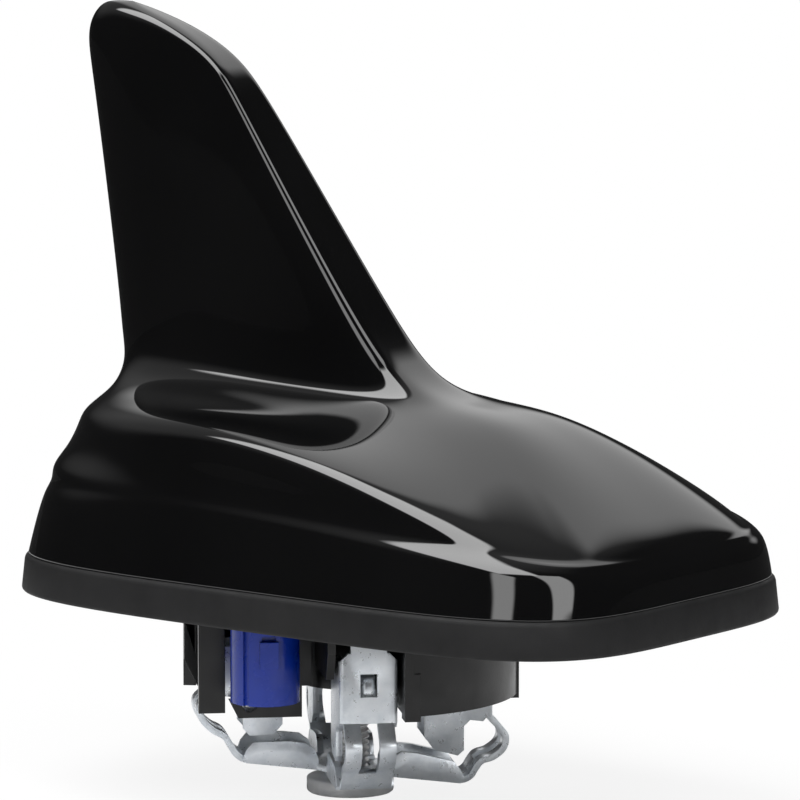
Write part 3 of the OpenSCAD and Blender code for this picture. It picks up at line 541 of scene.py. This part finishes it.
def claw_piece():
    """The claw as bent sheet: the frame's own shape with its folds and edges rolled over."""
    source = nodes["claw_spring"]
    mesh = source.data.copy()
    mesh.name = "claw_sheet"
    work = bmesh.new()
    work.from_mesh(mesh)
    bmesh.ops.remove_doubles(work, verts=work.verts, dist=0.002 * MM)
    bmesh.ops.dissolve_limit(work, angle_limit=math.radians(1), verts=work.verts, edges=work.edges)
    for kind, offset, segments in ((2, FOLD, 4), (1, EDGE, 2)):
        edges = [e for e in work.edges if claw_edge_kind(e) == kind]
        bmesh.ops.bevel(work, geom=edges, offset=offset * MM, segments=segments, profile=0.5,
                        affect="EDGES", clamp_overlap=True)
    bmesh.ops.triangulate(work, faces=work.faces)
    work.to_mesh(mesh)
    work.free()
    mesh.polygons.foreach_set("use_smooth", [True] * len(mesh.polygons))
    mesh.set_sharp_from_angle(angle=math.radians(28))
    claw = bpy.data.objects.new("claw_sheet", mesh)
    bpy.context.scene.collection.objects.link(claw)
    dress(claw, "zinc_sheet")
    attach(claw, "aerial")
    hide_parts("claw_spring")
    squash_claw(claw)


def squash_claw(claw):
    """Gives a piece of the claw its own copy of its mesh."""
    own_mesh(claw)


claw_piece()


# Tongue in each window, in mm: room at its sides and top, how far its face and its back lie
# inside the leg's face, how far it swells and how far its upper end leans in
TONGUE_SIDE = 0.12
TONGUE_TOP = 0.7
TONGUE_FACE = 1.25
TONGUE_BACK = 1.75
TONGUE_SWELL = 1.0
TONGUE_LEAN = 0.5


def tongue_pieces():
    """The bulged tongue pressed out of each leg's window."""
    across, upward = 13, 17
    points, faces = [], []
    for turn in LEG_TURNS:
        drop = math.tan(math.radians(CLAW_HANG)) * math.cos(math.radians(turn - 45)) * CLAW_R
        low = -SHOULDER_DEEP - WINDOW_LOW - drop / 2
        spin = np.array(Matrix.Rotation(math.radians(turn), 3, "Z"))
        for side in (0, 1):
            for i in range(upward):
                t = i / (upward - 1)
                for j in range(across):
                    q = 2 * j / (across - 1) - 1
                    swell = (1 - q ** 4) * math.sin(math.pi * min(1, 0.12 + t * 0.88)) ** 0.6
                    inside = TONGUE_BACK if side else TONGUE_FACE - TONGUE_SWELL * swell
                    points.append(spin @ np.array([
                        CLAW_R - inside - TONGUE_LEAN * t,
                        q * (WINDOW_HALF - TONGUE_SIDE),
                        low + 0.05 + t * (WINDOW_H - TONGUE_TOP)]))
        first = len(points) - 2 * across * upward
        half = across * upward
        for i in range(upward - 1):
            for j in range(across - 1):
                a = first + i * across + j
                faces.append((a, a + 1, a + 1 + across, a + across))
                b = a + half
                faces.append((b + across, b + 1 + across, b + 1, b))
        rim = ([j for j in range(across)] + [i * across + across - 1 for i in range(1, upward)]
               + [(upward - 1) * across + j for j in range(across - 2, -1, -1)]
               + [i * across for i in range(upward - 2, 0, -1)])
        for a, b in zip(rim, rim[1:] + rim[:1]):
            faces.append((first + b, first + a, first + half + a, first + half + b))
    tongues = add_piece("claw_tongues", points, faces, "aerial", "zinc_sheet")
    tongues.data.set_sharp_from_angle(angle=math.radians(50))
    squash_claw(tongues)


tongue_pieces()


# Screw sizes in mm, the same as in the part's source, and the thread that only this script cuts
SCREW_R = 3
HEAD_R = 7
HEAD_T = 2.5
HEAD_TOP = -29.35
SCREW_END = -7
DRIVE_AF = 5
DRIVE_DEEP = 3
THREAD_PITCH = 1
THREAD_DEEP = 0.55
THREAD_STEPS = 10


def screw_piece():
    """Clamp screw: flat head with rolled edges and a hexagon socket, and a cut thread of 1 mm."""
    around = 96
    angles = np.linspace(0, 2 * math.pi, around, endpoint=False)
    low = HEAD_TOP - HEAD_T
    hexagon = DRIVE_AF / 2 / np.cos((angles % (math.pi / 3)) - math.pi / 6)

    def ring(radius, z):
        radius = np.broadcast_to(radius, around)
        height = np.broadcast_to(z, around)
        return np.stack([radius * np.cos(angles), radius * np.sin(angles), height], -1)

    socket = [(0.02, low + DRIVE_DEEP), (hexagon * 0.6, low + DRIVE_DEEP - 0.25),
              (hexagon, low + DRIVE_DEEP - 0.3), (hexagon, low + DRIVE_DEEP - 0.5),
              (hexagon, low + 0.6), (hexagon, low + 0.35), (3.15, low + 0.04), (3.3, low)]
    head = [(HEAD_R - 0.6, low), (HEAD_R - 0.3, low + 0.06), (HEAD_R - 0.08, low + 0.25),
            (HEAD_R, low + 0.5), (HEAD_R, HEAD_TOP - 0.35), (HEAD_R - 0.08, HEAD_TOP - 0.15),
            (HEAD_R - 0.3, HEAD_TOP), (SCREW_R + 0.5, HEAD_TOP), (SCREW_R + 0.12, HEAD_TOP + 0.1),
            (SCREW_R, HEAD_TOP + 0.4)]
    rings = [ring(radius, z) for radius, z in socket + head]
    start, end = HEAD_TOP + 0.9, SCREW_END - 0.6
    for z in np.arange(start, end, THREAD_PITCH / THREAD_STEPS):
        phase = (z / THREAD_PITCH - angles / (2 * math.pi)) % 1
        groove = np.clip(1.15 - np.abs(phase - 0.5) * 3.2, 0, 1)
        fade = min(1, (z - start) / 1.2)
        rings.append(ring(SCREW_R - THREAD_DEEP * groove * fade, z))
    core = SCREW_R - THREAD_DEEP
    rings += [ring(core, end + 0.1), ring(core - 0.3, SCREW_END), ring(0.02, SCREW_END)]
    points = np.concatenate(rings)
    faces = grid_faces(len(rings), around)
    faces.append(tuple(range(around))[::-1])
    faces.append(tuple(range(len(points) - around, len(points))))
    bolt = add_piece("clamp_bolt", points, faces, "screw", "screw_steel", ["clamp_screw"])
    bolt.data.set_sharp_from_angle(angle=math.radians(38))


screw_piece()


# Light: a dim room with glowing sheets, each with soft edges, far from the object.
# Azimuth, elevation, half width, half height and edge in degrees, and radiance.
SHEETS = [
    (-118, 68, 24, 18, 2.0, 6.6),
    (-23, 38, 12, 30, 1.5, 4.0),
    (-80, 24, 7, 20, 1.5, 3.4),
    (112, 43, 23, 28, 4.0, 1.25),
    (158, 58, 44, 34, 14.0, 0.28),
]
ROOM = 0.035


def make_world():
    """White to the camera; to everything else the dim room with its glowing sheets."""
    world = bpy.data.worlds.new("world")
    bpy.context.scene.world = world
    world.use_nodes = True
    tree = world.node_tree
    place = tree.nodes.new("ShaderNodeTexCoord").outputs["Generated"]

    def math_node(kind, a, b=None):
        node = tree.nodes.new("ShaderNodeMath")
        node.operation = kind
        for socket, value in zip(node.inputs, (a, b)):
            if isinstance(value, (int, float)):
                socket.default_value = value
            elif value is not None:
                tree.links.new(value, socket)
        return node.outputs[0]

    def along(way):
        node = tree.nodes.new("ShaderNodeVectorMath")
        node.operation = "DOT_PRODUCT"
        node.inputs[1].default_value = way
        tree.links.new(place, node.inputs[0])
        return node.outputs["Value"]

    def fade(value, limit, edge):
        node = tree.nodes.new("ShaderNodeMapRange")
        node.interpolation_type = "SMOOTHSTEP"
        node.inputs["From Min"].default_value = math.tan(math.radians(max(limit - edge, 0)))
        node.inputs["From Max"].default_value = math.tan(math.radians(limit + edge))
        node.inputs["To Min"].default_value = 1
        node.inputs["To Max"].default_value = 0
        tree.links.new(value, node.inputs["Value"])
        return node.outputs["Result"]

    total = ROOM
    for azimuth, elevation, half_wide, half_high, edge, radiance in SHEETS:
        az, el = math.radians(azimuth), math.radians(elevation)
        way = Vector((math.cos(az) * math.cos(el), math.sin(az) * math.cos(el), math.sin(el)))
        right = Vector((-math.sin(az), math.cos(az), 0))
        ahead = along(way)
        depth = math_node("MAXIMUM", ahead, 0.001)
        across = math_node("ABSOLUTE", math_node("DIVIDE", along(right), depth))
        upward = math_node("ABSOLUTE", math_node("DIVIDE", along(way.cross(right)), depth))
        shape = math_node("MULTIPLY", fade(across, half_wide, edge), fade(upward, half_high, edge))
        shape = math_node("MULTIPLY", shape, math_node("GREATER_THAN", ahead, 0.0))
        total = math_node("ADD", math_node("MULTIPLY", shape, radiance), total)

    room = tree.nodes.new("ShaderNodeBackground")
    tree.links.new(total, room.inputs["Strength"])
    back = tree.nodes["Background"]
    back.inputs["Color"].default_value = (1, 1, 1, 1)
    back.inputs["Strength"].default_value = 1
    ray = tree.nodes.new("ShaderNodeLightPath")
    mix = tree.nodes.new("ShaderNodeMixShader")
    tree.links.new(ray.outputs["Is Camera Ray"], mix.inputs["Fac"])
    tree.links.new(room.outputs["Background"], mix.inputs[1])
    tree.links.new(back.outputs["Background"], mix.inputs[2])
    tree.links.new(mix.outputs["Shader"], tree.nodes["World Output"].inputs["Surface"])


make_world()


# Floor, in metres: its half width, how far it lies below the screw's head, where its white sheet
# fades into the dim room, where its shadow fades out, and the shadow's strength
FLOOR_HALF = 3.0
FLOOR_BELOW = 0.02 * MM
SHEET_FROM, SHEET_TO = 0.16, 0.30
SHADOW_FROM, SHADOW_TO = 0.05, 0.14
SHADOW_SHARE = 0.14


def make_floor():
    """Pale floor below the screw's head: to the camera white with a faint shadow of the object,
    and to all else a white sheet that ends in the dim room."""
    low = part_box("clamp_screw")[0].z - FLOOR_BELOW
    half = FLOOR_HALF
    mesh = bpy.data.meshes.new("floor")
    mesh.from_pydata([(-half, -half, low), (half, -half, low), (half, half, low), (-half, half, low)], [],
                     [(0, 1, 2, 3)])
    floor = bpy.data.objects.new("floor", mesh)
    bpy.context.scene.collection.objects.link(floor)
    n = Nodes("floor_pale")
    reach = n.tree.nodes.new("ShaderNodeVectorMath")
    reach.operation = "LENGTH"
    n.link(n.place, reach.inputs[0])

    def fading(start, end, full):
        node = n.tree.nodes.new("ShaderNodeMapRange")
        node.interpolation_type = "SMOOTHSTEP"
        node.inputs["From Min"].default_value = start
        node.inputs["From Max"].default_value = end
        node.inputs["To Min"].default_value = full
        node.inputs["To Max"].default_value = 0
        n.link(reach.outputs["Value"], node.inputs["Value"])
        return node.outputs["Result"]

    tones = [(0.0, (0.03, 0.03, 0.03)), (1.0, (0.85, 0.85, 0.85))]
    n.link(n.colours(fading(SHEET_FROM, SHEET_TO, 1), tones), n.shader.inputs["Base Color"])
    n.shader.inputs["Roughness"].default_value = 0.9
    n.shader.inputs["Specular IOR Level"].default_value = 0.0
    glow = n.tree.nodes.new("ShaderNodeEmission")
    ray = n.tree.nodes.new("ShaderNodeLightPath")
    shown = n.tree.nodes.new("ShaderNodeMixShader")
    n.link(fading(SHADOW_FROM, SHADOW_TO, SHADOW_SHARE), shown.inputs["Fac"])
    n.link(glow.outputs["Emission"], shown.inputs[1])
    n.link(n.shader.outputs["BSDF"], shown.inputs[2])
    mix = n.tree.nodes.new("ShaderNodeMixShader")
    n.link(ray.outputs["Is Camera Ray"], mix.inputs["Fac"])
    n.link(n.shader.outputs["BSDF"], mix.inputs[1])
    n.link(shown.outputs["Shader"], mix.inputs[2])
    n.link(mix.outputs["Shader"], n.tree.nodes["Material Output"].inputs["Surface"])
    mesh.materials.append(n.material)


make_floor()

scene = bpy.context.scene
scene.view_settings.view_transform = "Standard"
